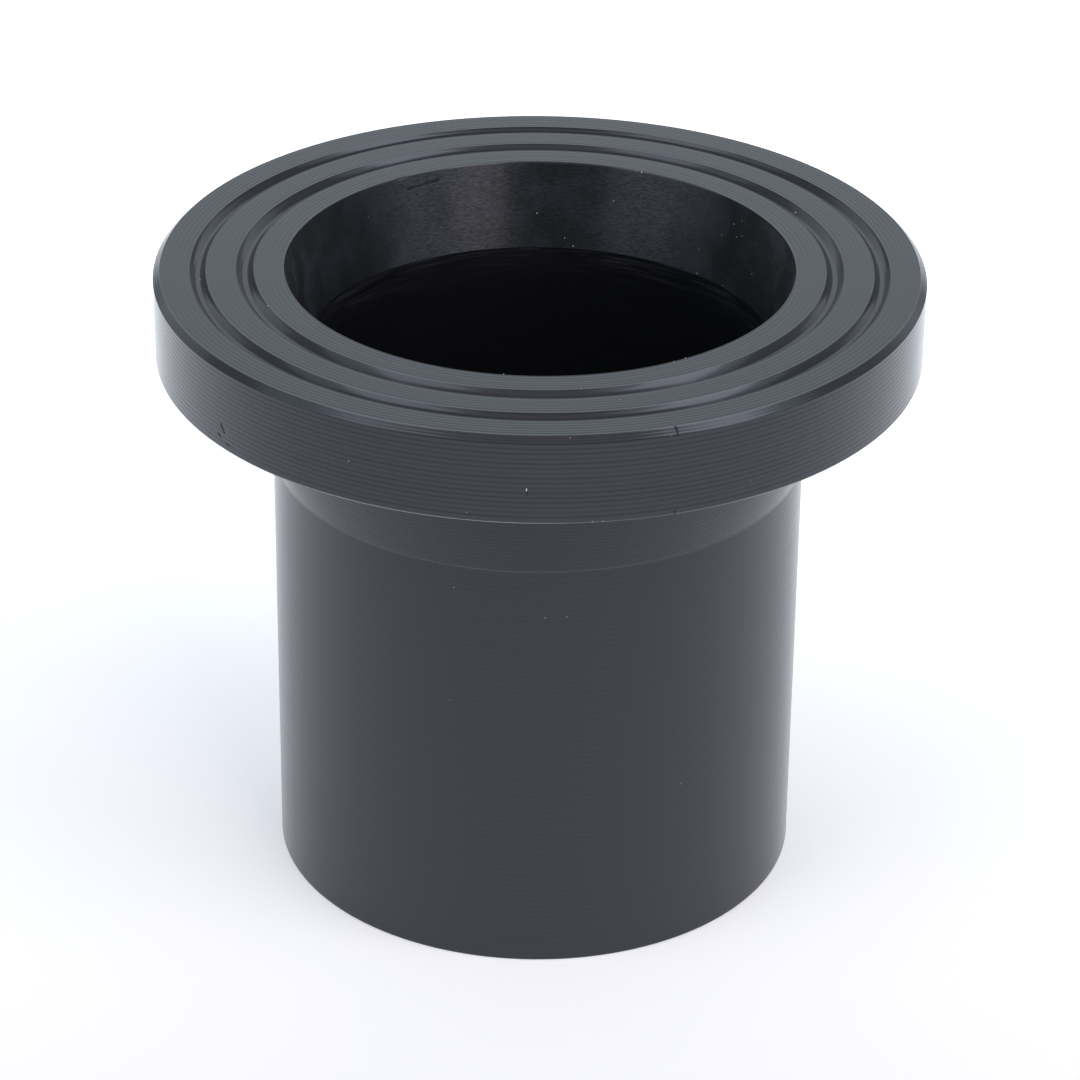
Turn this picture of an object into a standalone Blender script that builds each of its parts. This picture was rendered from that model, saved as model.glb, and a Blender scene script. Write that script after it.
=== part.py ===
"""A lap joint stub end, 110 mm nominal, turned from one piece of black polyethylene.

The flange is at the top, with the sealing face up. The part stands on the end of its spigot.
The origin is at the middle of that end, and +Z is the axis of the bore. Lengths are in metres.
"""

import math

import bmesh
import bpy
from mathutils import Matrix, Vector

# Whole part
OVERALL_HEIGHT = 0.1340

# Flange
FLANGE_RADIUS = 0.0790
FLANGE_THICKNESS = 0.0184
FACE_CHAMFER = 0.0013
BACK_EDGE_ROUND = 0.0005

# Neck, the cone that joins the back of the flange to the spigot
NECK_RISE = 0.0072
NECK_LENGTH = 0.0233
NECK_ROOT_FILLET = 0.0020

# Spigot, the plain length that is fused to the pipe
SPIGOT_RADIUS = 0.0553
SPIGOT_WALL = 0.0070
SPIGOT_END_ROUND = 0.0004

# Mouth of the bore, a shallow cone through the flange
MOUTH_FLARE = 0.0040
MOUTH_DEPTH = 0.0184
MOUTH_EDGE_ROUND = 0.0002

# Two gasket grooves with straight flanks, which leave three equal lands on the sealing face
INNER_GROOVE_WIDTH = 0.0035
INNER_GROOVE_DEPTH = 0.0014
OUTER_GROOVE_WIDTH = 0.0032
OUTER_GROOVE_DEPTH = 0.0013
GROOVE_FLANK_ANGLE = math.radians(48)
GROOVE_ROOT_ROUND = 0.0003
LANDS = 3

# Fineness of the mesh
TURN_STEPS = 96
FILLET_STEPS = 4
EDGE_STEPS = 2
WELD_DISTANCE = 1e-6

# Finish
MATERIAL_COLOR = (0.045, 0.049, 0.056, 1.0)
MATERIAL_ROUGHNESS = 0.42
SMOOTH_ANGLE = math.radians(20)


def clear_scene():
    """Removes whatever the scene holds."""
    for thing in list(bpy.data.objects):
        bpy.data.objects.remove(thing, do_unlink=True)


def rounded_corner(before, corner, after, radius, steps):
    """Points of an arc that rounds a corner of the section, from the side of before to that of after."""
    to_before = (before - corner).normalized()
    to_after = (after - corner).normalized()
    half_angle = to_before.angle(to_after) / 2
    centre = corner + (to_before + to_after).normalized() * (radius / math.sin(half_angle))
    start = corner + to_before * (radius / math.tan(half_angle)) - centre
    sweep = start.angle_signed(corner + to_after * (radius / math.tan(half_angle)) - centre)
    # angle_signed is positive clockwise, and a 2D rotation matrix turns anticlockwise
    return [centre + Matrix.Rotation(-sweep * i / steps, 2) @ start for i in range(steps + 1)]


def groove(middle, width, depth, face):
    """Points of a groove with straight flanks and a rounded root, from its outer edge to its inner one."""
    half_floor = width / 2 - depth / math.tan(GROOVE_FLANK_ANGLE)
    outer_edge = Vector((middle + width / 2, face))
    outer_root = Vector((middle + half_floor, face - depth))
    inner_root = Vector((middle - half_floor, face - depth))
    inner_edge = Vector((middle - width / 2, face))
    points = [outer_edge]
    points += rounded_corner(outer_edge, outer_root, inner_root, GROOVE_ROOT_ROUND, EDGE_STEPS)
    points += rounded_corner(outer_root, inner_root, inner_edge, GROOVE_ROOT_ROUND, EDGE_STEPS)
    return points + [inner_edge]


def section():
    """The turned section as (radius, height) points, up the outside and back down the bore."""
    face = OVERALL_HEIGHT
    back = face - FLANGE_THICKNESS
    bore_radius = SPIGOT_RADIUS - SPIGOT_WALL
    mouth_radius = bore_radius + MOUTH_FLARE
    face_radius = FLANGE_RADIUS - FACE_CHAMFER

    # The middles of the grooves follow from the widths of the three lands
    grooves_width = INNER_GROOVE_WIDTH + OUTER_GROOVE_WIDTH
    land = (face_radius - mouth_radius - grooves_width) / LANDS
    inner_groove = mouth_radius + land + INNER_GROOVE_WIDTH / 2
    outer_groove = face_radius - land - OUTER_GROOVE_WIDTH / 2

    foot_outside = Vector((SPIGOT_RADIUS, 0.0))
    neck_foot = Vector((SPIGOT_RADIUS, back - NECK_LENGTH))
    neck_root = Vector((SPIGOT_RADIUS + NECK_RISE, back))
    back_edge = Vector((FLANGE_RADIUS, back))
    chamfer_foot = Vector((FLANGE_RADIUS, face - FACE_CHAMFER))
    chamfer_top = Vector((face_radius, face))
    mouth_edge = Vector((mouth_radius, face))
    mouth_foot = Vector((bore_radius, face - MOUTH_DEPTH))
    foot_inside = Vector((bore_radius, 0.0))

    points = rounded_corner(foot_inside, foot_outside, neck_foot, SPIGOT_END_ROUND, EDGE_STEPS)
    points += [neck_foot]
    points += rounded_corner(neck_foot, neck_root, back_edge, NECK_ROOT_FILLET, FILLET_STEPS)
    points += rounded_corner(neck_root, back_edge, chamfer_foot, BACK_EDGE_ROUND, EDGE_STEPS)
    points += [chamfer_foot, chamfer_top]
    points += groove(outer_groove, OUTER_GROOVE_WIDTH, OUTER_GROOVE_DEPTH, face)
    points += groove(inner_groove, INNER_GROOVE_WIDTH, INNER_GROOVE_DEPTH, face)
    points += rounded_corner(chamfer_top, mouth_edge, mouth_foot, MOUTH_EDGE_ROUND, EDGE_STEPS)
    points += [mouth_foot]
    points += rounded_corner(mouth_foot, foot_inside, foot_outside, SPIGOT_END_ROUND, EDGE_STEPS)
    return points


def turned_mesh(name, points):
    """A closed mesh made by spinning a section once round the Z axis."""
    bm = bmesh.new()
    verts = [bm.verts.new((point.x, 0.0, point.y)) for point in points]
    edges = [bm.edges.new((a, b)) for a, b in zip(verts, verts[1:] + verts[:1])]
    bmesh.ops.spin(
        bm,
        geom=verts + edges,
        cent=(0.0, 0.0, 0.0),
        axis=(0.0, 0.0, 1.0),
        angle=math.tau,
        steps=TURN_STEPS,
    )
    bmesh.ops.remove_doubles(bm, verts=bm.verts, dist=WELD_DISTANCE)
    bmesh.ops.recalc_face_normals(bm, faces=bm.faces)
    mesh = bpy.data.meshes.new(name)
    bm.to_mesh(mesh)
    bm.free()
    mesh.shade_smooth()
    mesh.set_sharp_from_angle(angle=SMOOTH_ANGLE)
    return mesh


def polyethylene():
    """Black polyethylene with the satin finish that a lathe leaves."""
    material = bpy.data.materials.new("black_polyethylene")
    material.use_nodes = True
    shader = material.node_tree.nodes["Principled BSDF"]
    shader.inputs["Base Color"].default_value = MATERIAL_COLOR
    shader.inputs["Roughness"].default_value = MATERIAL_ROUGHNESS
    shader.inputs["Metallic"].default_value = 0.0
    return material


def build():
    """Makes the stub end and puts it in the scene."""
    clear_scene()
    stub_end = bpy.data.objects.new("stub_end", turned_mesh("stub_end", section()))
    stub_end.data.materials.append(polyethylene())
    bpy.context.scene.collection.objects.link(stub_end)


build()
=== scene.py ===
# %% [markdown]
# # A lap joint stub end, turned from black polyethylene
#
# The object is one piece of plastic: a flange with a grooved sealing face on a plain spigot.
# A lathe cut nearly every surface that shows, so the look comes from three things: a true section,
# the fine rings that the tool left, and a satin black plastic that goes pale at a glancing angle.
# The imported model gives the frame: one node, at its real size, standing on the end of its spigot.

# %% Load the frame
import math
import random

import bmesh
import bpy
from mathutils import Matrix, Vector
from mathutils.kdtree import KDTree


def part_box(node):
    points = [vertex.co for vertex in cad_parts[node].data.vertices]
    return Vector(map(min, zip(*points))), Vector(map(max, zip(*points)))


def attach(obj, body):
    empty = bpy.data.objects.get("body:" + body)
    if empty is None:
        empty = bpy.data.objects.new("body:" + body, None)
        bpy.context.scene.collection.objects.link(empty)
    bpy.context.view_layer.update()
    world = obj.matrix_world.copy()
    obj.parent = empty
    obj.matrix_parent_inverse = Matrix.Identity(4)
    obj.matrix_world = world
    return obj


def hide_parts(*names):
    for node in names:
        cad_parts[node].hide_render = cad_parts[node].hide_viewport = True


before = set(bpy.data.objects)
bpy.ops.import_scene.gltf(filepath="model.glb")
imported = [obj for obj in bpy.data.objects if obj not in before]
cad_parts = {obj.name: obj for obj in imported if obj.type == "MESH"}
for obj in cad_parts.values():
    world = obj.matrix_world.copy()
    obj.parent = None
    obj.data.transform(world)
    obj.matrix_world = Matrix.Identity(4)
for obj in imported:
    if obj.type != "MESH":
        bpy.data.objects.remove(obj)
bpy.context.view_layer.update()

MM = 0.001


def point(radius, height):
    """A point of the section: millimetres from the axis and above the floor, turned to metres."""
    return Vector((radius * MM, 0.0, height * MM))


# %% [markdown]
# ## The section
#
# A turned part is fully told by one closed outline on one side of its axis. Its height and the
# flange's radius come from the frame, and the other sizes are those of the solid.
# Every straight run that a tool cut is not straight: the tool moves on by its feed at each turn
# and its round nose leaves a shallow hollow, so the run is a row of hollows with crests between.
# They could be painted as bump, but real hollows catch the light along an outline too.

# %% Sizes of the part, in mm
lowest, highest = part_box("stub_end")
FACE = highest.z / MM
FLANGE_RADIUS = highest.x / MM
FLANGE_THICKNESS = 18.4
FACE_CHAMFER = 1.3
BACK_EDGE_ROUND = 0.5
NECK_RISE = 7.2
NECK_LENGTH = 23.3
NECK_ROOT_FILLET = 2.0
SPIGOT_RADIUS = 55.3
SPIGOT_WALL = 7.0
SPIGOT_END_ROUND = 0.4
MOUTH_FLARE = 4.0
MOUTH_DEPTH = 18.4
MOUTH_EDGE_ROUND = 0.2
STEP_LIP_ROUND = 0.5
GROOVES = ((3.2, 1.3), (3.5, 1.4))
GROOVE_FLANK = math.radians(48)
GROOVE_ROOT_ROUND = 0.3
LANDS = 3

BACK = FACE - FLANGE_THICKNESS
BORE_RADIUS = SPIGOT_RADIUS - SPIGOT_WALL
MOUTH_RADIUS = BORE_RADIUS + MOUTH_FLARE
FACE_RADIUS = FLANGE_RADIUS - FACE_CHAMFER
LAND = (FACE_RADIUS - MOUTH_RADIUS - sum(width for width, depth in GROOVES)) / LANDS
print("face at", round(FACE, 2), "flange radius", round(FLANGE_RADIUS, 2), "land", round(LAND, 3))

# %% Hollows that the tool left: its feed in mm a turn, read from the spacing of the lines, and their depths
FLANGE_FEED = 1.02
NECK_FEED = 0.916
SPIGOT_FEED = 1.28
CHAMFER_FEED = 0.6
RIM_HOLLOW = 0.038
FACE_HOLLOW = 0.044
NECK_HOLLOW = 0.020
SPIGOT_HOLLOW = 0.012
CHAMFER_HOLLOW = 0.009
FLANK_FEED = 9.0
FLANK_HOLLOW = 0.10
HOLLOW_SPREAD = (0.7, 1.2)
CREST_SPREAD = (0.6, 1.0)
MOST_RINGS = 1000
cuts = random.Random(4)
rings = KDTree(MOST_RINGS)
ring_marks = []


def mark_ring(place, kind, strength):
    """Notes that the ring through a point of the outline is a crest or carries a painted edge highlight, and
    how plain it is.
    """
    rings.insert(place, len(ring_marks))
    ring_marks.append((kind, strength))


def turned_run(start, end, feed, hollow, steps=4, plain=1.0):
    """Points from start to just before end, along one shallow arc after another."""
    count = max(1, round((end - start).length / (feed * MM)))
    step = (end - start) / count
    into_metal = Vector((-step.z, 0.0, step.x)).normalized()
    run = []
    for i in range(count):
        crest = start + step * i
        depth = hollow * MM * cuts.uniform(*HOLLOW_SPREAD)
        for j in range(steps):
            t = j / steps
            run.append(crest + step * t + into_metal * depth * 4 * t * (1 - t))
        if i:
            mark_ring(crest, "crest", plain * cuts.uniform(*CREST_SPREAD))
    return run


print("feeds in mm a turn:", FLANGE_FEED, "on the flange,", SPIGOT_FEED, "on the spigot")


# %% Rounded corners and grooves
def rounded(before, corner, after, radius, steps=4):
    """Points of an arc of that radius in mm that rounds a corner of the outline."""
    to_before = (before - corner).normalized()
    to_after = (after - corner).normalized()
    half = to_before.angle(to_after) / 2
    centre = corner + (to_before + to_after).normalized() * (radius * MM / math.sin(half))
    first = corner + to_before * (radius * MM / math.tan(half)) - centre
    last = corner + to_after * (radius * MM / math.tan(half)) - centre
    return [centre + first.slerp(last, i / steps) * (radius * MM) for i in range(steps + 1)]


def groove(outer_edge, width, depth):
    """Points of a gasket groove with straight flanks, from its outer edge to its inner one."""
    run = depth / math.tan(GROOVE_FLANK)
    outer, inner = point(outer_edge, FACE), point(outer_edge - width, FACE)
    outer_root = point(outer_edge - run, FACE - depth)
    inner_root = point(outer_edge - width + run, FACE - depth)
    bottom = rounded(outer, outer_root, inner_root, GROOVE_ROOT_ROUND)
    bottom += rounded(outer_root, inner_root, inner, GROOVE_ROOT_ROUND)
    down = turned_run(outer, bottom[0], FLANK_FEED, FLANK_HOLLOW)
    up = turned_run(bottom[-1], inner, FLANK_FEED, FLANK_HOLLOW)
    return down + bottom + up[1:] + [inner]


for width, depth in GROOVES:
    print("groove", width, "mm wide, flat for", round(width - 2 * depth / math.tan(GROOVE_FLANK), 2), "mm")

# %% The outline up the outside, from the foot to the chamfer
FACE_CREST = 0.05
foot_outside = point(SPIGOT_RADIUS, 0)
foot_inside = point(BORE_RADIUS, 0)
neck_foot = point(SPIGOT_RADIUS, BACK - NECK_LENGTH)
neck_root = point(SPIGOT_RADIUS + NECK_RISE, BACK)
back_edge = point(FLANGE_RADIUS, BACK)
chamfer_foot = point(FLANGE_RADIUS, FACE - FACE_CHAMFER)
chamfer_top = point(FACE_RADIUS, FACE)
mouth_edge = point(MOUTH_RADIUS, FACE)
mouth_foot = point(BORE_RADIUS, FACE - MOUTH_DEPTH)

outline = rounded(foot_inside, foot_outside, neck_foot, SPIGOT_END_ROUND)
outline += turned_run(outline[-1], neck_foot, SPIGOT_FEED, SPIGOT_HOLLOW, steps=3, plain=0.15)[1:]
root_fillet = rounded(neck_foot, neck_root, back_edge, NECK_ROOT_FILLET, steps=6)
outline += turned_run(neck_foot, root_fillet[0], NECK_FEED, NECK_HOLLOW, plain=0.2) + root_fillet
back_round = rounded(neck_root, back_edge, chamfer_foot, BACK_EDGE_ROUND)
outline += turned_run(outline[-1], back_round[0], FLANGE_FEED, FACE_HOLLOW, plain=FACE_CREST)[1:] + back_round
outline += turned_run(outline[-1], chamfer_foot, FLANGE_FEED, RIM_HOLLOW)[1:]
outline += turned_run(chamfer_foot, chamfer_top, CHAMFER_FEED, CHAMFER_HOLLOW, plain=0.3)
# Painted highlights, pale lines along the foot of the neck, the rim's lower edge and the top of the chamfer,
# are marked as rings; the chamfer's foot is a crest
mark_ring(neck_foot, "painted_edge_highlight", 0.15)
mark_ring(back_round[3], "painted_edge_highlight", 1.0)
mark_ring(chamfer_foot, "crest", 1.0)
mark_ring(chamfer_top, "painted_edge_highlight", 0.2)

# %% The outline over the sealing face and down the bore
edge = FACE_RADIUS
outline += [chamfer_top]
for width, depth in GROOVES:
    cut = groove(edge - LAND, width, depth)
    outline += turned_run(outline[-1], cut[0], FLANGE_FEED, FACE_HOLLOW, plain=FACE_CREST)[1:] + cut
    mark_ring(cut[0], "crest", 0.5)
    # A painted highlight along the groove's inner edge
    mark_ring(cut[-1], "painted_edge_highlight", 0.12)
    edge -= LAND + width
mouth_round = rounded(chamfer_top, mouth_edge, mouth_foot, MOUTH_EDGE_ROUND)
outline += turned_run(outline[-1], mouth_round[0], FLANGE_FEED, FACE_HOLLOW, plain=FACE_CREST)[1:]
outline += mouth_round
# A painted highlight along the edge of the mouth
mark_ring(mouth_round[2], "painted_edge_highlight", 0.3)

# The cone has many rings, so that a scratch can be pressed into it, and the bore only a few
CONE_RINGS = 72
BORE_RINGS = 6
lip = rounded(mouth_edge, mouth_foot, foot_inside, STEP_LIP_ROUND)
outline += [mouth_round[-1].lerp(lip[0], i / CONE_RINGS) for i in range(1, CONE_RINGS)] + lip
# A painted highlight along the lip of the step
mark_ring(lip[2], "painted_edge_highlight", 0.2)
bore_foot = rounded(mouth_foot, foot_inside, foot_outside, SPIGOT_END_ROUND)
outline += [lip[-1].lerp(bore_foot[0], i / BORE_RINGS) for i in range(1, BORE_RINGS)] + bore_foot
rings.balance()
print(len(outline), "points in the outline,", len(ring_marks), "rings marked")

# %% [markdown]
# ## Spinning the section
#
# The outline is drawn as by hand: one vertex is extruded from point to point, the last is joined
# to the first, and Spin carries the loop once round the axis. A Screw modifier would do the same,
# but Spin leaves a mesh that can be worked on at once. The crests are then marked sharp, since a
# tool leaves a crest sharp and a hollow smooth, and smooth shading alone would hide the rings.

# %% Spin it
TURN_STEPS = 144
SAME_PLACE = 0.001 * MM
bpy.ops.object.select_all(action="DESELECT")
bpy.ops.mesh.primitive_plane_add(size=MM, location=outline[0])
stub_end = bpy.context.object
stub_end.name = "turned_stub_end"
bpy.ops.object.transform_apply(location=True, rotation=True, scale=True)
bpy.ops.object.mode_set(mode="EDIT")
bpy.ops.mesh.merge(type="CENTER")
for here, there in zip(outline, outline[1:]):
    bpy.ops.mesh.extrude_vertices_move(TRANSFORM_OT_translate={"value": there - here})


def edit_mesh():
    """The mesh being edited, with its lists ready to be read by number."""
    mesh = bmesh.from_edit_mesh(stub_end.data)
    for parts in (mesh.verts, mesh.edges, mesh.faces):
        parts.ensure_lookup_table()
    return mesh


mesh = edit_mesh()
mesh.verts[0].select_set(True)
bmesh.update_edit_mesh(stub_end.data)
bpy.ops.mesh.edge_face_add()
bpy.ops.mesh.select_all(action="SELECT")
bpy.ops.mesh.spin(steps=TURN_STEPS, angle=math.tau, center=(0, 0, 0), axis=(0, 0, 1))
bpy.ops.mesh.select_all(action="SELECT")
bpy.ops.mesh.remove_doubles(threshold=SAME_PLACE)
bpy.ops.mesh.normals_make_consistent(inside=False)
bpy.ops.object.mode_set(mode="OBJECT")
print(len(stub_end.data.vertices), "vertices,", len(stub_end.data.polygons), "faces")

# %% Smooth hollows and sharp crests
SHARP_FROM = math.radians(18)
SHARP_CREST = 0.05
RING_REACH = 0.02 * MM
bpy.ops.object.shade_smooth_by_angle(angle=SHARP_FROM)
bpy.ops.object.mode_set(mode="EDIT")
bpy.ops.mesh.select_mode(type="EDGE")
bpy.ops.mesh.select_all(action="DESELECT")


def mark_of(vertex):
    """The kind and strength of the marked ring that a vertex lies on, if it lies on one."""
    place, number, distance = rings.find((vertex.co.xy.length, 0, vertex.co.z))
    return ring_marks[number] if distance < RING_REACH else ("none", 0.0)


# A new layer moves the ones before it, so all three are made first and then looked up
MARKS = ("crest", "painted_edge_highlight", "nick")
mesh = edit_mesh()
for kind in MARKS:
    mesh.verts.layers.float.new(kind)
layers = {kind: mesh.verts.layers.float[kind] for kind in MARKS}
for vertex in mesh.verts:
    kind, strength = mark_of(vertex)
    if strength:
        vertex[layers[kind]] = strength
for e in mesh.edges:
    e.select_set(all(v[layers["crest"]] > SHARP_CREST for v in e.verts))
bmesh.update_edit_mesh(stub_end.data)
print(sum(e.select for e in mesh.edges), "crest edges marked sharp")
bpy.ops.mesh.mark_sharp()
bpy.ops.object.mode_set(mode="OBJECT")

# %% [markdown]
# ## Scratches, nicks and a notch
#
# The real part has been knocked about: two short slanting scratches and a few pits on the rim's
# left, a nick where the chamfer meets the rim, a notch in the edge of the mouth and a long thin
# scratch on the cone below it. They could be painted on, but a nick in a
# soft plastic is a real hollow, so it is pressed into the mesh. The rings are first cut finer just
# there, since a vertex every few millimetres can't hold so small a mark. The pressed vertices are
# marked for the materials too, which paint shade into the nicks: most of their gloss goes, and on
# the cone their colour goes dark as well.

# %% Where the marks are
RIM = FLANGE_RADIUS
NICKS = (
    ("left scratch", (218.2, RIM, -13.0), (219.0, RIM, -14.5), 0.26, 0.14),
    ("lower left scratch", (217.4, RIM, -15.3), (218.0, RIM, -15.8), 0.26, 0.12),
    ("left pit", (219.5, RIM, -16.5), (220.1, RIM, -16.7), 0.24, 0.12),
    ("fibre's bed", (268.6, RIM, -11.6), (268.5, RIM, -12.3), 0.16, 0.05),
    ("edge pit", (289.4, RIM, -17.6), (289.3, RIM, -18.1), 0.24, 0.12),
    ("chamfer nick", (288.7, RIM, -1.2), (289.5, RIM, -1.25), 0.22, 0.12),
    ("chamfer cut", (289.4, RIM, -1.1), (289.4, FACE_RADIUS, 0.0), 0.20, 0.12),
    ("mouth notch", (123.6, MOUTH_RADIUS, -0.1), (125.9, MOUTH_RADIUS, -0.1), 0.25, 0.12),
    ("cone scratch", (115.0, MOUTH_RADIUS - 0.5, -2.3), (123.5, MOUTH_RADIUS - 0.6, -2.9), 0.24, 0.06),
)
FINE_CUTS = 19
print(len(NICKS), "marks, each as start, end, half width and depth")


def on_part(angle, radius, depth):
    """A place on the part: degrees from +X, mm from the axis and mm above the sealing face."""
    turn = math.radians(angle)
    return Vector((radius * math.cos(turn), radius * math.sin(turn), FACE + depth)) * MM


def distance_to(place, start, end):
    """How far a place is from a straight line between two others."""
    along = end - start
    share = (place - start).dot(along) / along.length_squared
    return (place - start - along * min(1.0, max(0.0, share))).length


# %% Cut the mesh finer there
def runs_round(e):
    """Whether an edge lies along a ring."""
    a, b = (v.co for v in e.verts)
    return abs(a.z - b.z) < SAME_PLACE and abs(a.xy.length - b.xy.length) < SAME_PLACE


def near_a_nick(e):
    """Whether an edge along a ring passes close to one of the marks."""
    middle = (e.verts[0].co + e.verts[1].co) / 2
    reach = (e.verts[0].co - e.verts[1].co).length / 2
    for name, start, end, width, depth in NICKS:
        gap = distance_to(middle, on_part(*start), on_part(*end))
        if gap < reach + 2 * width * MM:
            low, high = sorted((on_part(*start).z, on_part(*end).z))
            if low - 2 * width * MM < middle.z < high + 2 * width * MM:
                return True
    return False


bpy.ops.object.mode_set(mode="EDIT")
bpy.ops.mesh.select_all(action="DESELECT")
mesh = edit_mesh()
for e in mesh.edges:
    e.select_set(runs_round(e) and near_a_nick(e))
bmesh.update_edit_mesh(stub_end.data)
print(sum(e.select for e in mesh.edges), "edges cut finer")
bpy.ops.mesh.subdivide(number_cuts=FINE_CUTS)

# %% Press the marks in
mesh = edit_mesh()
# Each pressed vertex is marked with how much painted shade it gets
painted_nick_shade = mesh.verts.layers.float["nick"]
for name, start, end, width, depth in NICKS:
    start, end = on_part(*start), on_part(*end)
    pressed = 0
    for vertex in mesh.verts:
        if (vertex.co - start).length < (end - start).length + width * MM:
            share = distance_to(vertex.co, start, end) / (width * MM)
            if share < 1:
                vertex.co -= vertex.normal * depth * MM * (1 - share**2)
                vertex[painted_nick_shade] = max(vertex[painted_nick_shade], 1 - share)
                pressed += 1
    print(name, "pressed", pressed, "vertices in")
bmesh.update_edit_mesh(stub_end.data)
bpy.ops.mesh.select_all(action="DESELECT")
bpy.ops.object.mode_set(mode="OBJECT")

# %% [markdown]
# ## The plastic
#
# The real stuff is polyethylene with carbon black in it. It is nearly black in itself, and what
# the eye sees is mostly its satin gloss: dark face on, pale at a glancing angle. A picture could
# be wrapped round it, but nodes that read the place on the object have no seam and no pixels.
# One function makes the plastic, and each tool that cut it gives that function its own numbers.
# A pixel of the photograph covers about 0.2 mm of the part, so the fine marks here are drawn
# 0.15 to 0.3 mm wide, and whatever is much finer on the real one is left out.

# %% Helpers for materials
def linear(hex_colour):
    """A colour given as an sRGB hex value, as linear red, green, blue and alpha."""
    parts = [int(hex_colour[i : i + 2], 16) / 255 for i in (1, 3, 5)]
    return [c / 12.92 if c <= 0.04045 else ((c + 0.055) / 1.055) ** 2.4 for c in parts] + [1.0]


def add_node(tree, kind, links=(), **settings):
    """Adds a node, sets its properties and sockets, and links what feeds it."""
    node = tree.nodes.new(kind)
    for name, value in settings.items():
        if hasattr(node, name):
            setattr(node, name, value)
        else:
            node.inputs[name.replace("_", " ")].default_value = value
    for socket, source in links:
        tree.links.new(source, node.inputs[socket])
    return node


# %% Coordinates that wrap round the axis
def turning_place(tree, around, across):
    """A vector for marks that run round the axis, about that many mm long and wide, with no seam."""
    place = add_node(tree, "ShaderNodeTexCoord").outputs["Object"]
    axes = add_node(tree, "ShaderNodeSeparateXYZ", [("Vector", place)])
    flat = add_node(tree, "ShaderNodeCombineXYZ", [("X", axes.outputs["X"]), ("Y", axes.outputs["Y"])])
    radius = add_node(tree, "ShaderNodeVectorMath", [(0, flat.outputs["Vector"])], operation="LENGTH")
    along = add_node(tree, "ShaderNodeMath", [(0, radius.outputs["Value"]), (1, axes.outputs["Z"])])
    links = [("X", axes.outputs["X"]), ("Y", axes.outputs["Y"]), ("Z", along.outputs["Value"])]
    wrapped = add_node(tree, "ShaderNodeCombineXYZ", links)
    scaled = add_node(tree, "ShaderNodeVectorMath", [(0, wrapped.outputs["Vector"])], operation="MULTIPLY")
    scaled.inputs[1].default_value = (1 / (around * MM), 1 / (around * MM), 1 / (across * MM))
    return scaled.outputs["Vector"]


def remap(tree, source, low, high, start=0.0, end=1.0):
    """Stretches the part of a value between low and high to run from start to end."""
    links = [("Value", source)]
    node = add_node(tree, "ShaderNodeMapRange", links, From_Min=low, From_Max=high, To_Min=start, To_Max=end)
    return node.outputs["Result"]


def blend(tree, factor, first, second):
    """A colour that goes from the first to the second with a factor. Either may be a hex value."""
    node = add_node(tree, "ShaderNodeMix", data_type="RGBA")
    tree.links.new(factor, node.inputs["Factor"])
    for socket, colour in ((node.inputs[6], first), (node.inputs[7], second)):
        if isinstance(colour, str):
            socket.default_value = linear(colour)
        else:
            tree.links.new(colour, socket)
    return node.outputs[2]


def product(tree, first, second):
    """One value times another."""
    return add_node(tree, "ShaderNodeMath", [(0, first), (1, second)], operation="MULTIPLY").outputs["Value"]


# %% Black polyethylene, what a tool does to it, and painted highlights and shade
PLASTIC = "#1f2123"
# The neck's greyer body is painted light, lightening its dim front
NECK_BODY_PAINTED_LIGHT = "#282b2d"
# Darker along the crests, and painted shade in the nicks on the cone
DARK_CREST_AND_NICK_SHADE = "#050506"
# The pale colour of the painted edge highlights
PAINTED_EDGE_HIGHLIGHT = "#8a9096"
# Painted light: a cool tint on every reflection of the plastic, the cool cast of the light carried by the
# gloss so that the floor stays white
PAINTED_COOL_LIGHT_TINT = (0.90, 1.0, 1.11, 1.0)
PLASTIC_IOR = 1.5
CREST_SHINE = 0.8
# Painted shade in the nicks: the gloss left at their middle, and how far in it reaches
NICK_SHINE = 0.15
NICK_EDGE = 0.6
EDGE_HIGHLIGHT_GAPS = (0.35, 0.65)
GLOSS_SPREAD = (0.85, 1.15)
# Nearly all of a noise's values lie between these two
NOISE_LOW, NOISE_HIGH = 0.3, 0.7


def new_material(name):
    """An empty material with its node tree and its shader."""
    material = bpy.data.materials.new(name)
    material.use_nodes = True
    tree = material.node_tree
    return material, tree, tree.nodes["Principled BSDF"]


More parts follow.
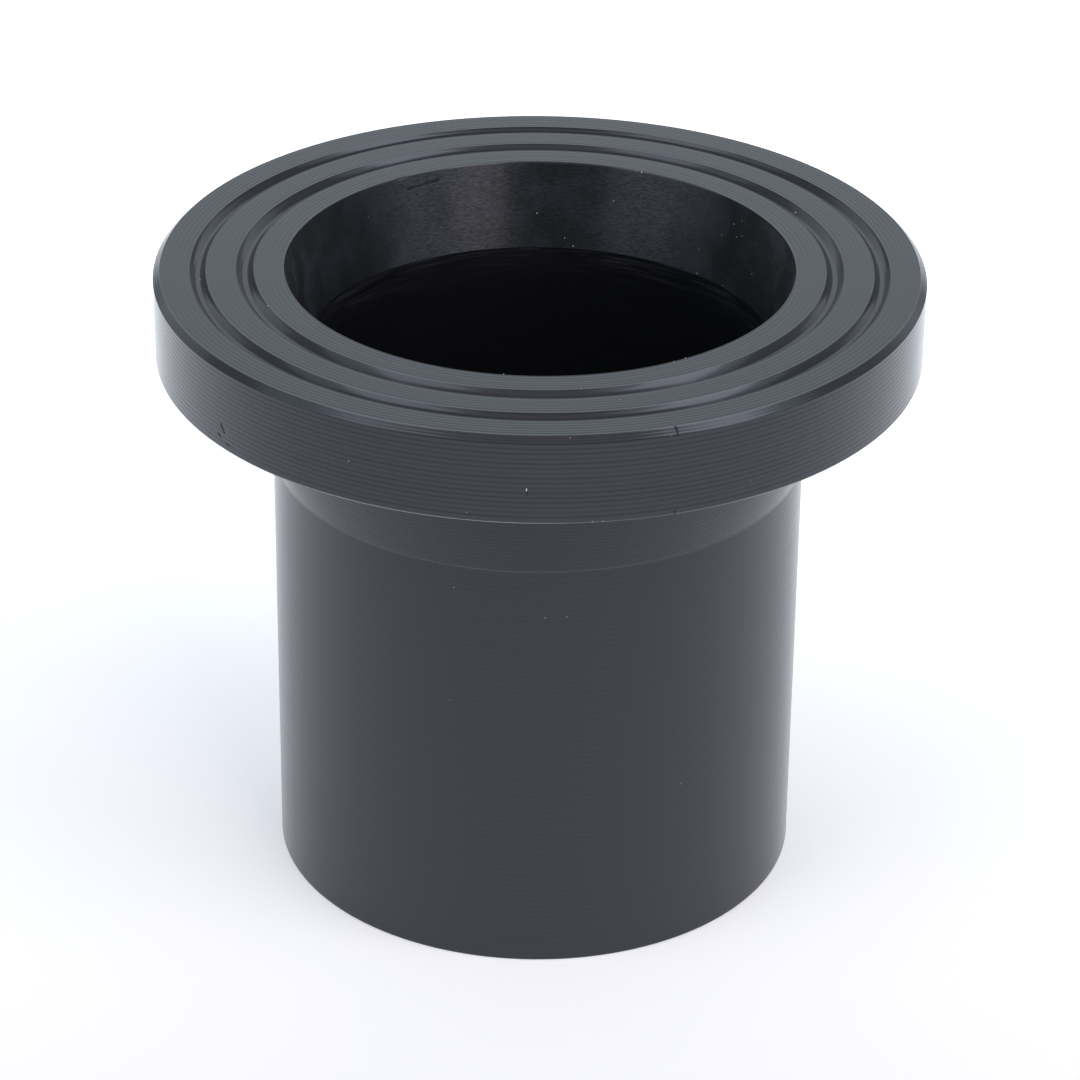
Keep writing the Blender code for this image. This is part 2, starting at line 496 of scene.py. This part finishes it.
def polyethylene(name, roughness, marks_long, marks_wide, relief, shine=0.5, body=PLASTIC):
    """Black polyethylene with darker crests, painted edge highlights, painted shade in nicks and fine marks
    round the axis, sizes and relief in mm.
    """
    material, tree, shader = new_material(name)
    shader.inputs["IOR"].default_value = PLASTIC_IOR
    # The gloss carries the painted cool tint of the light
    shader.inputs["Specular Tint"].default_value = PAINTED_COOL_LIGHT_TINT
    place = turning_place(tree, marks_long, marks_wide)
    marks = add_node(tree, "ShaderNodeTexNoise", [("Vector", place)], Scale=1.0, Detail=3.0).outputs["Fac"]
    crest = add_node(tree, "ShaderNodeAttribute", attribute_name="crest").outputs["Fac"]
    painted_edge_highlight = add_node(tree, "ShaderNodeAttribute", attribute_name="painted_edge_highlight").outputs["Fac"]
    nick = add_node(tree, "ShaderNodeAttribute", attribute_name="nick").outputs["Fac"]
    colour = blend(tree, crest, body, DARK_CREST_AND_NICK_SHADE)
    # Painted highlight: a pale line along the marked edges, broken here and there by the noise
    colour = blend(tree, product(tree, painted_edge_highlight, remap(tree, marks, *EDGE_HIGHLIGHT_GAPS)), colour, PAINTED_EDGE_HIGHLIGHT)
    least, most = (roughness * share for share in GLOSS_SPREAD)
    gloss = remap(tree, marks, NOISE_LOW, NOISE_HIGH, least, most)
    height = add_node(tree, "ShaderNodeBump", [("Height", marks)], Distance=relief * MM)
    tree.links.new(height.outputs["Normal"], shader.inputs["Normal"])
    tree.links.new(colour, shader.inputs["Base Color"])
    tree.links.new(gloss, shader.inputs["Roughness"])
    # The crests are darker and a little less glossy; the nicks get painted shade, as most of their gloss goes
    ringed = remap(tree, crest, 0, 1, shine, shine * CREST_SHINE)
    nicked = remap(tree, nick, 0, NICK_EDGE, 1, NICK_SHINE)
    tree.links.new(product(tree, ringed, nicked), shader.inputs["Specular IOR Level"])
    stub_end.data.materials.append(material)
    return tree, shader, nick, gloss


# %% Flange, spigot, grooves and neck
# The flange: turned with one coarse pass of a sharp tool, which leaves it the glossiest
marks = {"marks_long": 30, "marks_wide": 0.18, "relief": 0.002}
polyethylene("turned_polyethylene", roughness=0.14, shine=0.55, **marks)
# The spigot: skimmed with a broad tool, smoother in form but a little duller
polyethylene("skimmed_polyethylene", roughness=0.20, marks_long=30, marks_wide=0.25, relief=0.002)
# Grooves and chamfer: cut with formed tools, so they are smooth along their length
polyethylene("grooved_polyethylene", roughness=0.18, marks_long=20, marks_wide=0.15, relief=0.002)
# The neck: a copy of the plastic with painted shade and light. Less gloss stands in for the shade under the
# flange, and a greyer body lightens its dim front
polyethylene("neck_polyethylene_painted_light_and_shade", roughness=0.20, shine=0.3, body=NECK_BODY_PAINTED_LIGHT, **marks)
print([material.name for material in stub_end.data.materials])

# %% [markdown]
# ## The reamed mouth and the moulded bore
#
# The mouth's cone was reamed in one broad cut. Its fine marks run round the axis, so its gloss
# spreads up and down in tall bands, which an anisotropic shader gives. The cut tore the far side,
# and a thin film lies on it in clouds. Below the step nothing was cut: that is the skin of the
# moulding, smooth and the darkest of all, with a few scored rings close to the step.

# %% The reamed mouth
REAMED_PLASTIC = "#131517"
SMEAR = "#1e2327"
CLOUD_SIZE = 8.0
FILM_SPAN = (0.45, 0.75)
SPREAD = 0.9
ALONG_AXIS = 0.25
TEAR_LENGTH, TEAR_WIDTH = 1.2, 0.3
TORN_SHINE = (0.24, 0.72)
EVEN_SHINE = 0.45
FILM_DULLS = (-0.04, 0.06)
TORN_FROM, TORN_PAST = 33 * MM, 43 * MM


def reamed_polyethylene():
    """The mouth's cone: its gloss spreads across the cut, which tore the far side, and a film lies on it."""
    marks = {"roughness": 0.38, "marks_long": 1.8, "marks_wide": 0.3, "relief": 0.007}
    tree, shader, nick, gloss = polyethylene("reamed_polyethylene", **marks)
    shader.inputs["Anisotropic"].default_value = SPREAD
    # A quarter of a turn lays the spread across the marks
    shader.inputs["Anisotropic Rotation"].default_value = ALONG_AXIS
    around = add_node(tree, "ShaderNodeTangent", direction_type="RADIAL", axis="Z")
    tree.links.new(around.outputs["Tangent"], shader.inputs["Tangent"])
    place = add_node(tree, "ShaderNodeTexCoord").outputs["Object"]
    size = 1 / (CLOUD_SIZE * MM)
    clouds = add_node(tree, "ShaderNodeTexNoise", [("Vector", place)], Scale=size, Detail=6.0, Distortion=0.3)
    film = remap(tree, clouds.outputs["Fac"], *FILM_SPAN)
    # Painted shade in the nicks: their colour goes dark
    colour = blend(tree, nick, blend(tree, film, REAMED_PLASTIC, SMEAR), DARK_CREST_AND_NICK_SHADE)
    tree.links.new(colour, shader.inputs["Base Color"])
    dulled = add_node(tree, "ShaderNodeMath", [(0, gloss), (1, remap(tree, film, 0, 1, *FILM_DULLS))])
    tree.links.new(dulled.outputs["Value"], shader.inputs["Roughness"])
    tears = [("Vector", turning_place(tree, TEAR_LENGTH, TEAR_WIDTH))]
    streaks = add_node(tree, "ShaderNodeTexNoise", tears, Scale=1.0, Detail=4.0)
    torn = remap(tree, streaks.outputs["Fac"], NOISE_LOW, NOISE_HIGH, *TORN_SHINE)
    depth = add_node(tree, "ShaderNodeSeparateXYZ", [("Vector", place)]).outputs["Y"]
    far_side = remap(tree, depth, TORN_FROM, TORN_PAST)
    patchy = add_node(tree, "ShaderNodeMix", [(0, far_side), (3, torn)])
    patchy.inputs[2].default_value = EVEN_SHINE
    # Painted shade in the nicks, as most of their gloss goes
    nicked = remap(tree, nick, 0, NICK_EDGE, 1.0, NICK_SHINE)
    tree.links.new(product(tree, patchy.outputs[0], nicked), shader.inputs["Specular IOR Level"])


reamed_polyethylene()
print("torn streaks", TEAR_LENGTH, "mm long and", TEAR_WIDTH, "mm wide")

# %% The moulded bore
SKIN = "#0f1013"
SCORE = "#2b2d34"
STEP = FACE - MOUTH_DEPTH
SCORED_FROM, SCORED_TO = 1, 8
SCORE_LENGTH, SCORE_WIDTH = 12, 0.22
SCORE_SPAN = (0.50, 0.66)


def moulded_polyethylene():
    """The bore below the step: the skin of the moulding, darker, with a few rings near the step."""
    marks = {"roughness": 0.32, "marks_long": 12, "marks_wide": 0.3, "relief": 0.003}
    tree, shader = polyethylene("moulded_polyethylene", **marks, shine=0.35)[:2]
    round_place = turning_place(tree, SCORE_LENGTH, SCORE_WIDTH)
    scores = add_node(tree, "ShaderNodeTexNoise", [("Vector", round_place)], Scale=1.0, Detail=2.0)
    place = add_node(tree, "ShaderNodeTexCoord").outputs["Object"]
    height = add_node(tree, "ShaderNodeSeparateXYZ", [("Vector", place)])
    near_step = remap(tree, height.outputs["Z"], (STEP - SCORED_TO) * MM, (STEP - SCORED_FROM) * MM)
    scored = product(tree, near_step, remap(tree, scores.outputs["Fac"], *SCORE_SPAN))
    tree.links.new(blend(tree, scored, SKIN, SCORE), shader.inputs["Base Color"])


moulded_polyethylene()
print("scored rings end", SCORED_TO, "mm below the step")

# %% Give each surface its finish
TURNED, SKIMMED, GROOVED, NECKED, REAMED, MOULDED = range(6)
MID_WALL = BORE_RADIUS + SPIGOT_WALL / 2
NECK_FOOT = BACK - NECK_LENGTH
EDGE_ROOM = 0.1
CORNER_ROOM = 0.2
LIP_REACH = 1.0
GROOVE_LIP = 0.15
GROOVE_REACH = 2.0


def finish_of(face):
    """The finish of a face of the stub end, from where it lies."""
    middle = face.calc_center_median() / MM
    radius, height = middle.xy.length, middle.z
    if radius < BORE_RADIUS + EDGE_ROOM and height < STEP - CORNER_ROOM:
        return MOULDED
    if radius < MOUTH_RADIUS - EDGE_ROOM and height > STEP - LIP_REACH:
        return REAMED
    if radius > MID_WALL and height < NECK_FOOT:
        return SKIMMED
    if MID_WALL < radius < SPIGOT_RADIUS + NECK_RISE and height < BACK - CORNER_ROOM:
        return NECKED
    on_chamfer = radius > FACE_RADIUS and height > FACE - FACE_CHAMFER
    in_groove = radius < FACE_RADIUS and FACE - GROOVE_REACH < height < FACE - GROOVE_LIP
    return GROOVED if on_chamfer or in_groove else TURNED


bpy.ops.object.mode_set(mode="EDIT")
bpy.ops.mesh.select_mode(type="FACE")
for finish in (SKIMMED, GROOVED, NECKED, REAMED, MOULDED):
    bpy.ops.mesh.select_all(action="DESELECT")
    mesh = edit_mesh()
    for face in mesh.faces:
        face.select_set(finish_of(face) == finish)
    bmesh.update_edit_mesh(stub_end.data)
    stub_end.active_material_index = finish
    bpy.ops.object.material_slot_assign()
    print(stub_end.data.materials[finish].name, sum(f.select for f in mesh.faces), "faces")
bpy.ops.object.mode_set(mode="OBJECT")

# %% Hand the piece to the frame
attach(stub_end, "root")
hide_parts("stub_end")

# %% [markdown]
# ## Crumbs of swarf and dust
#
# A few pale crumbs stick to the part, most of them in the mouth, with one short fibre on the rim.
# Each is a lump a fraction of a millimetre across. One lump is modelled, and its copies are turned
# and stretched where they lie, each with its own mesh, and then joined to one piece.

# %% Where the crumbs lie: degrees from +X, mm above the sealing face, and their size in mm
CONE_SLOPE = MOUTH_FLARE / MOUTH_DEPTH
CONE_CRUMBS = (
    (90.9, -11.1, 0.30), (83.8, -16.3, 0.30), (81.6, -17.9, 0.32), (71.9, -7.3, 0.26),
    (37.0, -4.7, 0.24), (34.5, -3.2, 0.22), (40.3, -8.1, 0.22), (35.2, -7.0, 0.20),
    (33.4, -6.1, 0.18), (46.7, -13.0, 0.20), (46.0, -18.1, 0.30), (26.1, -12.1, 0.20),
    (36.5, -18.0, 0.20), (136.0, -6.0, 0.15), (103.0, -16.5, 0.14), (58.0, -12.0, 0.15),
    (65.6, -0.3, 0.34), (66.9, -0.2, 0.22),
)
RIM_CRUMBS = (
    (242.8, -9.7, 0.20), (279.1, -18.0, 0.18), (277.6, -17.9, 0.16), (301.1, -14.6, 0.14),
    (260.2, -16.5, 0.14),
)
SPIGOT_CRUMBS = (
    (252.7, -46.8, 0.20), (276.3, -52.0, 0.18), (271.8, -52.1, 0.18), (251.8, -72.9, 0.20),
    (303.0, -96.0, 0.16),
)
# On the sealing face a crumb has a radius too, and lies below the face where it is in a groove
FACE_CRUMBS = (
    (28.3, 61.0, -1.0, 0.34), (202.1, 58.6, 0.0, 0.30), (186.3, 69.4, -1.1, 0.26),
    (278.0, 58.4, 0.0, 0.18), (262.5, 52.4, 0.0, 0.30), (303.0, 52.4, 0.0, 0.26),
    (300.1, 52.4, 0.0, 0.20), (22.0, 75.0, 0.0, 0.20), (177.0, 66.0, 0.0, 0.16),
    (178.5, 63.0, 0.0, 0.20), (247.0, 63.0, 0.0, 0.18), (284.0, 64.2, 0.0, 0.16),
    (55.0, 72.0, 0.0, 0.18), (274.4, 78.1, -0.4, 0.20),
)
crumb_places = [(on_part(a, MOUTH_RADIUS + CONE_SLOPE * d, d), size) for a, d, size in CONE_CRUMBS]
crumb_places += [(on_part(a, FLANGE_RADIUS, d), size) for a, d, size in RIM_CRUMBS]
crumb_places += [(on_part(a, SPIGOT_RADIUS, d), size) for a, d, size in SPIGOT_CRUMBS]
crumb_places += [(on_part(a, r, d), size) for a, r, d, size in FACE_CRUMBS]
print(len(crumb_places), "crumbs")

# %% One crumb, copied to each place
CRUMB_RADIUS = 0.5 * MM
CRUMB_UNEVEN = 0.12 * MM
CRUMB_STRETCH = (1.0, 0.8, 0.6)
FIBRE = (on_part(268.46, FLANGE_RADIUS, -10.9), 0.30, (0.7, 0.7, 2.2))
bpy.ops.object.select_all(action="DESELECT")
bpy.ops.mesh.primitive_ico_sphere_add(subdivisions=2, radius=CRUMB_RADIUS)
crumb = bpy.context.object
bpy.ops.object.mode_set(mode="EDIT")
bpy.ops.transform.vertex_random(offset=CRUMB_UNEVEN, seed=5)
bpy.ops.object.mode_set(mode="OBJECT")
turns = random.Random(8)
copies = []
for place, size, stretch in [(*row, CRUMB_STRETCH) for row in crumb_places] + [FIBRE]:
    bpy.ops.object.select_all(action="DESELECT")
    crumb.select_set(True)
    bpy.context.view_layer.objects.active = crumb
    bpy.ops.object.duplicate(linked=False)
    copy = bpy.context.object
    copy.location = place
    copy.scale = [size * s for s in stretch]
    if stretch == CRUMB_STRETCH:
        copy.rotation_euler = [turns.uniform(0, math.tau) for axis in range(3)]
    copies.append(copy)
bpy.data.objects.remove(crumb, do_unlink=True)
bpy.ops.object.select_all(action="DESELECT")
for copy in copies:
    copy.select_set(True)
bpy.context.view_layer.objects.active = copies[0]
bpy.ops.object.join()
crumbs = bpy.context.object
crumbs.name = "swarf_crumbs"
bpy.ops.object.transform_apply(location=True, rotation=True, scale=True)
bpy.ops.object.shade_smooth()
print(len(crumbs.data.polygons), "faces in the crumbs")

# %% Pale dust: shavings scuffed until they are dull and grey, with a fine speckle
DUST_GRAIN = 0.1 * MM
dust, tree, shader = new_material("polyethylene_dust")
place = add_node(tree, "ShaderNodeTexCoord").outputs["Object"]
grain = add_node(tree, "ShaderNodeTexNoise", [("Vector", place)], Scale=1 / DUST_GRAIN).outputs["Fac"]
tree.links.new(blend(tree, grain, "#a39c90", "#e6e0d4"), shader.inputs["Base Color"])
shader.inputs["Roughness"].default_value = 0.7
crumbs.data.materials.append(dust)
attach(crumbs, "root")
print("crumbs carry", crumbs.data.materials[0].name)

# %% [markdown]
# ## The set
#
# The part stands on a plain pale floor in soft studio light. A glossy black thing shows little but
# what it mirrors, so the lamps and the floor are the greater part of its look. The floor's material
# glows, more towards the back: painted light that stands in for a lit sweep of acrylic, and that turns the
# walls' edges pale.

# %% Floor, so wide that its edge stays out of low views
FLOOR_RADIUS = 12.0
GLOW_FRONT, GLOW_BACK = -0.16, 0.22
GLOW_LEAST, GLOW_MOST = 0.07, 0.56
GLOW_TINT = (0.95, 1.0, 1.08, 1.0)
bpy.ops.object.select_all(action="DESELECT")
bpy.ops.mesh.primitive_circle_add(vertices=96, radius=FLOOR_RADIUS, fill_type="NGON", location=(0, 0, 0))
floor = bpy.context.object
floor.name = "pale_floor"
floor_paint, tree, shader = new_material("opal_acrylic")
shader.inputs["Base Color"].default_value = linear("#f6f6f6")
shader.inputs["Roughness"].default_value = 0.9
# Painted light: the floor glows, faintly at the front and more towards the back
shader.inputs["Emission Color"].default_value = GLOW_TINT
place = add_node(tree, "ShaderNodeTexCoord").outputs["Object"]
depth = add_node(tree, "ShaderNodeSeparateXYZ", [("Vector", place)]).outputs["Y"]
glow = remap(tree, depth, GLOW_FRONT, GLOW_BACK, GLOW_LEAST, GLOW_MOST)
tree.links.new(glow, shader.inputs["Emission Strength"])
floor.data.materials.append(floor_paint)
print("floor", round(floor.dimensions.x, 1), "m across")

# %% [markdown]
# ## The camera
#
# The camera could be set by eye, but a turned part gives better: circles on it that must look like
# the ellipses in the photograph. The place and the turn below were fitted to those ellipses.

# %% Camera
CAMERA_PLACE = (0.0, -0.772656, 0.488265)
CAMERA_TURN = (61.5426, -0.5571, 0.2576)
LENS = 138.24
SENSOR = 36.0
bpy.ops.object.camera_add(location=CAMERA_PLACE, rotation=[math.radians(a) for a in CAMERA_TURN])
camera = bpy.context.object
camera.data.lens = LENS
camera.data.sensor_width = SENSOR
camera.data.clip_start = 0.01
bpy.context.scene.camera = camera
print("camera", round(camera.location.length, 3), "m from the part's foot")

# %% [markdown]
# ## The lamps
#
# Softboxes stand all round at one distance, each aimed at the part. A smooth wall mirrors whatever
# stands at twice its own angle, so each softbox was given the bearing that puts its reflection
# where the photograph has one: the pale flanks of the rim and spigot, the bloom on the lands, the
# streaks in the grooves and the warm band in the mouth. A world picture could do the same, but
# boxes are easier to move one by one.

# %% Softboxes: name, bearing, height, width and tallness in degrees, brightness and tint
LAMP_DISTANCE = 2.4
COOL = (0.92, 1.0, 1.09)
NEUTRAL = (1.1, 1.0, 1.08)
WARM = (1.25, 1.0, 1.05)
SOFTBOXES = (
    ("left_softbox", 208, 27, 56, 56, 0.65, COOL),
    ("left_lamp", 212, 14, 50, 32, 0.42, NEUTRAL),
    ("left_spot", 215, 42, 26, 34, 1.3, NEUTRAL),
    ("right_softbox", 333, 30, 50, 52, 0.75, COOL),
    ("right_spot", 332, 41, 26, 34, 2.2, NEUTRAL),
    ("backdrop", 95, 29, 110, 32, 0.48, COOL),
    ("front_top", 268, 58, 50, 20, 0.40, WARM),
    ("right_strip", 299, 22, 24, 26, 3.3, WARM),
)


def softbox(name, azimuth, elevation, across, up, radiance, colour):
    """A softbox aimed at the part. Its place, from +X towards +Y, and its spans are in degrees."""
    a, e = math.radians(azimuth), math.radians(elevation)
    toward = Vector((math.cos(a) * math.cos(e), math.sin(a) * math.cos(e), math.sin(e)))
    bpy.ops.object.light_add(type="AREA", location=toward * LAMP_DISTANCE)
    lamp = bpy.context.object
    lamp.name = name
    lamp.rotation_euler = (-toward).to_track_quat("-Z", "Y").to_euler()
    lamp.visible_camera = False
    lamp.data.shape = "RECTANGLE"
    lamp.data.size = 2 * LAMP_DISTANCE * math.tan(math.radians(across / 2))
    lamp.data.size_y = 2 * LAMP_DISTANCE * math.tan(math.radians(up / 2))
    lamp.data.energy = radiance * math.pi * lamp.data.size * lamp.data.size_y
    lamp.data.color = colour


for row in SOFTBOXES:
    softbox(*row)
print(len(SOFTBOXES), "softboxes", LAMP_DISTANCE, "m from the part")

# %% The pale room around
ROOM_TINT = (0.94, 1.0, 1.06, 1.0)
ROOM_STRENGTH = 0.425
world = bpy.data.worlds.new("studio")
bpy.context.scene.world = world
world.use_nodes = True
background = world.node_tree.nodes["Background"]
background.inputs["Color"].default_value = ROOM_TINT
background.inputs["Strength"].default_value = ROOM_STRENGTH
bpy.context.scene.view_settings.view_transform = "Standard"
